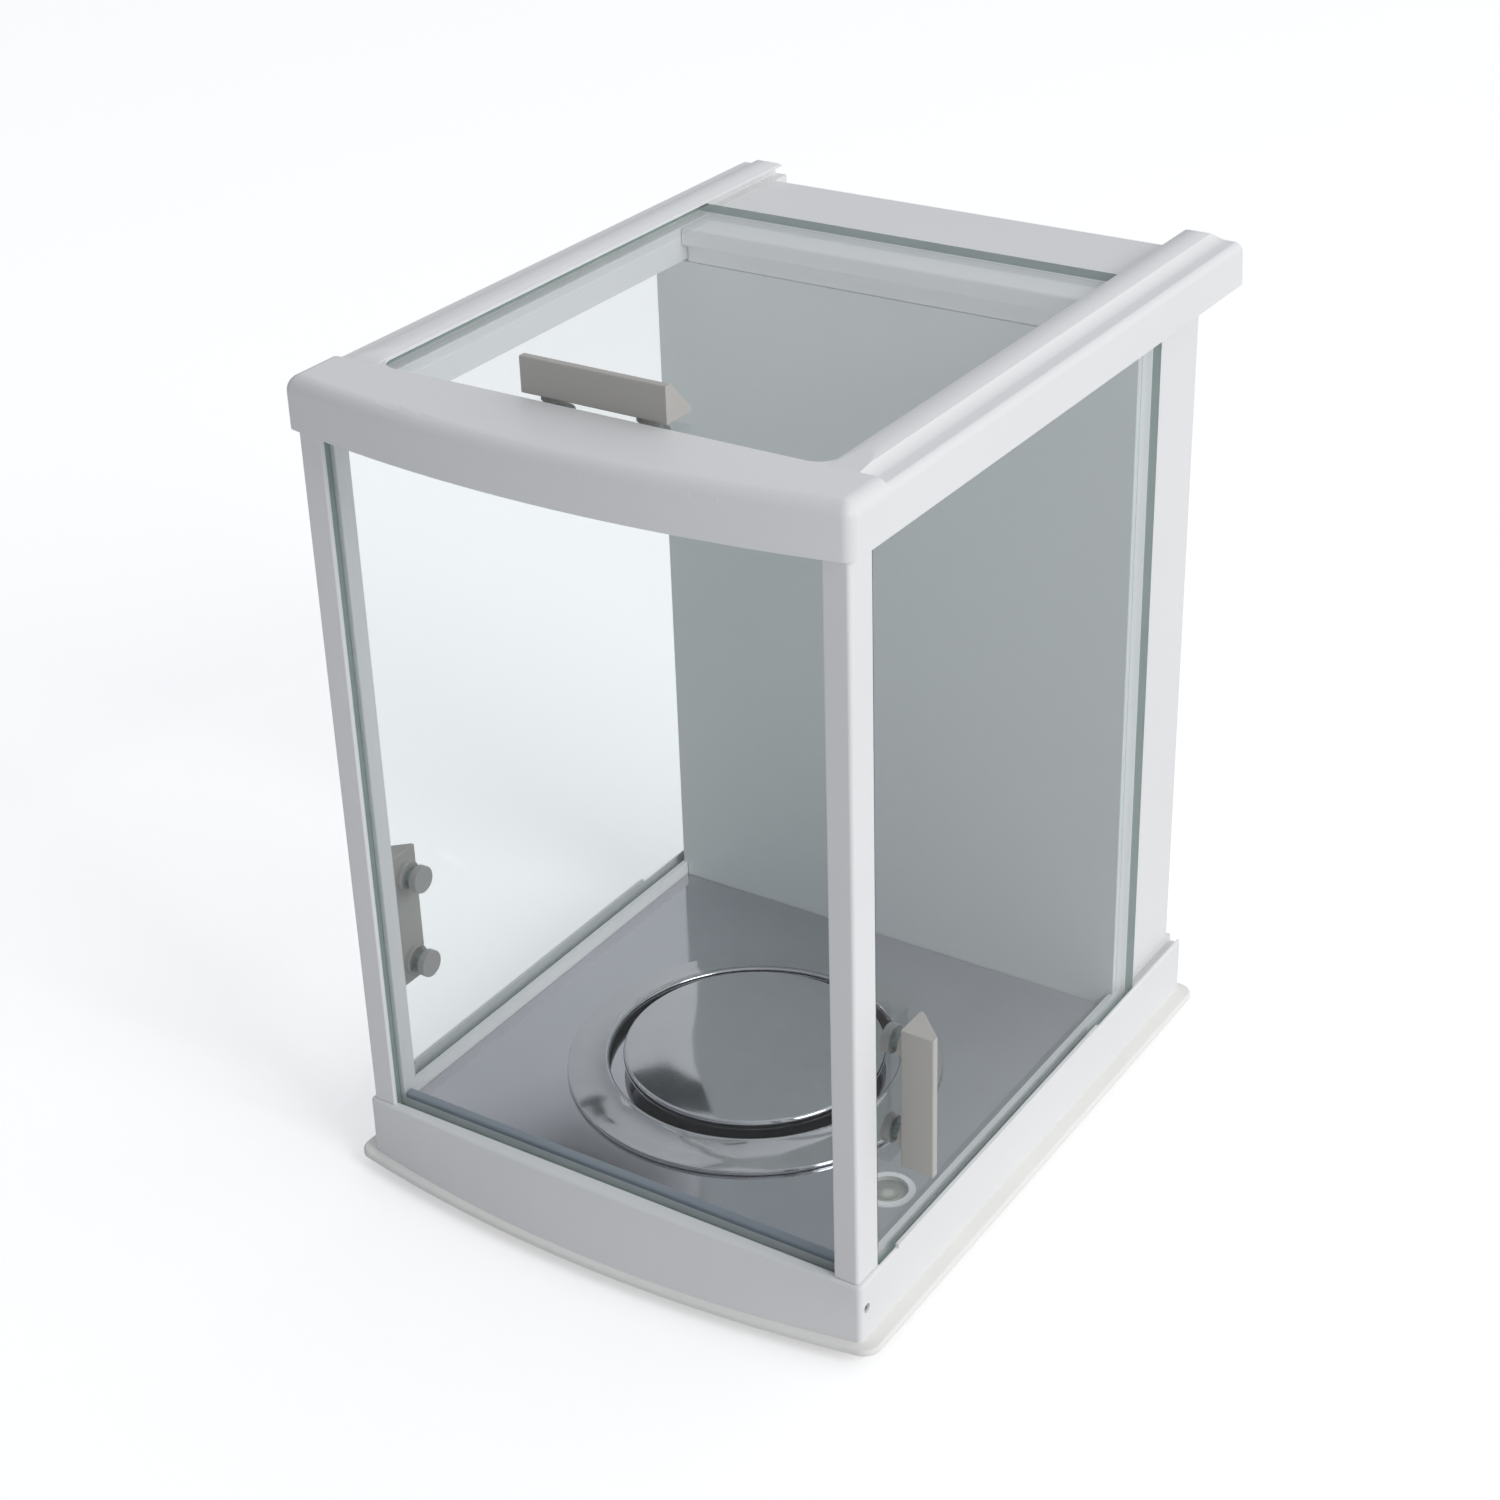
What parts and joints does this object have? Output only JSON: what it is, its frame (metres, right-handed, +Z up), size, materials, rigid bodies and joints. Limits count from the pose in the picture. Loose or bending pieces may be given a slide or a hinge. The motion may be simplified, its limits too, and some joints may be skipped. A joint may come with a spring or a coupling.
{
  "type": "analytical balance",
  "caption": "Analytical balance: round weighing pan in a glass draft shield with sliding side and top doors, on a low plinth with a rear cell tower.",
  "frame": {"origin": "on the table, at the centre of the balance's plan box", "axes": "+X to the user's right, +Y to the rear, +Z up; the front glass faces -Y"},
  "size_m": [0.2152, 0.257, 0.2984],
  "materials": {
    "white_shell": "fine satin moulding",
    "base_paint": "powder coat",
    "grey_panel": "satin paint",
    "white_panel": "powder coat",
    "stainless": "satin",
    "polished_stainless": "polished",
    "clear_glass": "float glass, ground edges",
    "handle_grey": "fine texture",
    "nut_grey": "fine texture",
    "screw_steel": "zinc plated",
    "rubber": "matte",
    "seal_grey": "matte",
    "foot_wheel": "knurled",
    "brass": "turned",
    "cell_aluminium": "machined",
    "spring_steel": "rolled",
    "magnet_steel": "turned",
    "copper": "enamelled wire",
    "black_plastic": "moulded",
    "board_green": "solder mask",
    "standoff_steel": "plated",
    "vial_white": "moulded",
    "vial_lens": "clear acrylic"
  },
  "bodies": {
    "body": {"base_plate": "base_paint", "foot_bushes": "brass", "rear_feet": "rubber", "plinth": "white_shell", "plinth_screws": "screw_steel", "base_screws": "screw_steel", "chamber_floor": "stainless", "level_vial_cup": "vial_white", "level_vial_lens": "vial_lens", "cell_frame": "cell_aluminium", "upper_guide": "spring_steel", "lower_guide": "spring_steel", "pivot_pin": "spring_steel", "magnet_pot": "magnet_steel", "magnet_bracket": "cell_aluminium", "position_sensor": "black_plastic", "left_front_post": "white_shell", "right_front_post": "white_shell", "front_glass": "clear_glass", "front_glass_seal": "seal_grey", "front_bar": "white_shell", "left_rail": "white_shell", "right_rail": "white_shell", "rear_crossbar": "white_shell", "rear_wall": "grey_panel", "left_rear_post": "white_panel", "right_rear_post": "white_panel", "rear_housing": "white_shell", "back_panel": "white_panel", "panel_blocks": "white_panel", "panel_screws": "screw_steel", "main_board": "board_green", "board_standoffs": "standoff_steel", "board_parts": "black_plastic", "dc_socket": "black_plastic", "data_socket": "black_plastic"},
    "pan_carrier": {"weigh_arm": "cell_aluminium", "hanger": "cell_aluminium", "link_strip": "spring_steel", "pan_cone": "cell_aluminium"},
    "force_lever": {"lever": "cell_aluminium", "coil": "copper"},
    "pan": {"weighing_pan": "polished_stainless"},
    "draft_ring": {"draft_ring": "polished_stainless"},
    "left_door": {"left_door_glass": "clear_glass", "left_door_handle": "handle_grey", "left_door_nuts": "nut_grey"},
    "right_door": {"right_door_glass": "clear_glass", "right_door_handle": "handle_grey", "right_door_nuts": "nut_grey"},
    "top_door": {"top_door_glass": "clear_glass", "top_door_handle": "handle_grey", "top_door_nuts": "nut_grey"},
    "left_foot_pad": {"left_foot_pad": "rubber"},
    "left_foot_wheel": {"left_foot_wheel": "foot_wheel"},
    "right_foot_pad": {"right_foot_pad": "rubber"},
    "right_foot_wheel": {"right_foot_wheel": "foot_wheel"}
  },
  "joints": [
    {"name": "left_door_slide", "type": "slide", "parent": "body", "child": "left_door", "axis": [0, 1, 0], "range_m": [0, 0.145]},
    {"name": "right_door_slide", "type": "slide", "parent": "body", "child": "right_door", "axis": [0, 1, 0], "range_m": [0, 0.145]},
    {"name": "top_door_slide", "type": "slide", "parent": "body", "child": "top_door", "axis": [0, 1, 0], "range_m": [0, 0.145]},
    {"name": "pan_load", "type": "slide", "parent": "body", "child": "pan_carrier", "axis": [0, 0, 1], "range_m": [-0.0005, 0.0002], "stiffness_N_per_m": 20000, "springref_m": 0.0001},
    {"name": "lever_pivot", "type": "hinge", "parent": "body", "child": "force_lever", "pos_m": [0.012, 0.085, 0.0725], "axis": [0, 1, 0], "range_deg": [-2.5, 1.2]},
    {"name": "pan_lift", "type": "slide", "parent": "pan_carrier", "child": "pan", "axis": [0, 0, 1], "range_m": [0, 0.06]},
    {"name": "draft_ring_lift", "type": "slide", "parent": "body", "child": "draft_ring", "axis": [0, 0, 1], "range_m": [0, 0.06]},
    {"name": "left_foot_travel", "type": "slide", "parent": "body", "child": "left_foot_pad", "axis": [0, 0, -1], "range_m": [0, 0.003]},
    {"name": "left_foot_turn", "type": "hinge", "parent": "left_foot_pad", "child": "left_foot_wheel", "pos_m": [-0.08, -0.1, 0.003], "axis": [0, 0, 1], "range_deg": [0, 1080]},
    {"name": "right_foot_travel", "type": "slide", "parent": "body", "child": "right_foot_pad", "axis": [0, 0, -1], "range_m": [0, 0.003]},
    {"name": "right_foot_turn", "type": "hinge", "parent": "right_foot_pad", "child": "right_foot_wheel", "pos_m": [0.08, -0.1, 0.003], "axis": [0, 0, 1], "range_deg": [0, 1080]}
  ],
  "couplings": [
    {"joint": "lever_pivot", "follows": "pan_load", "rad_per_m": 83.333},
    {"joint": "left_foot_turn", "follows": "left_foot_travel", "rad_per_m": 6283},
    {"joint": "right_foot_turn", "follows": "right_foot_travel", "rad_per_m": 6283}
  ]
}
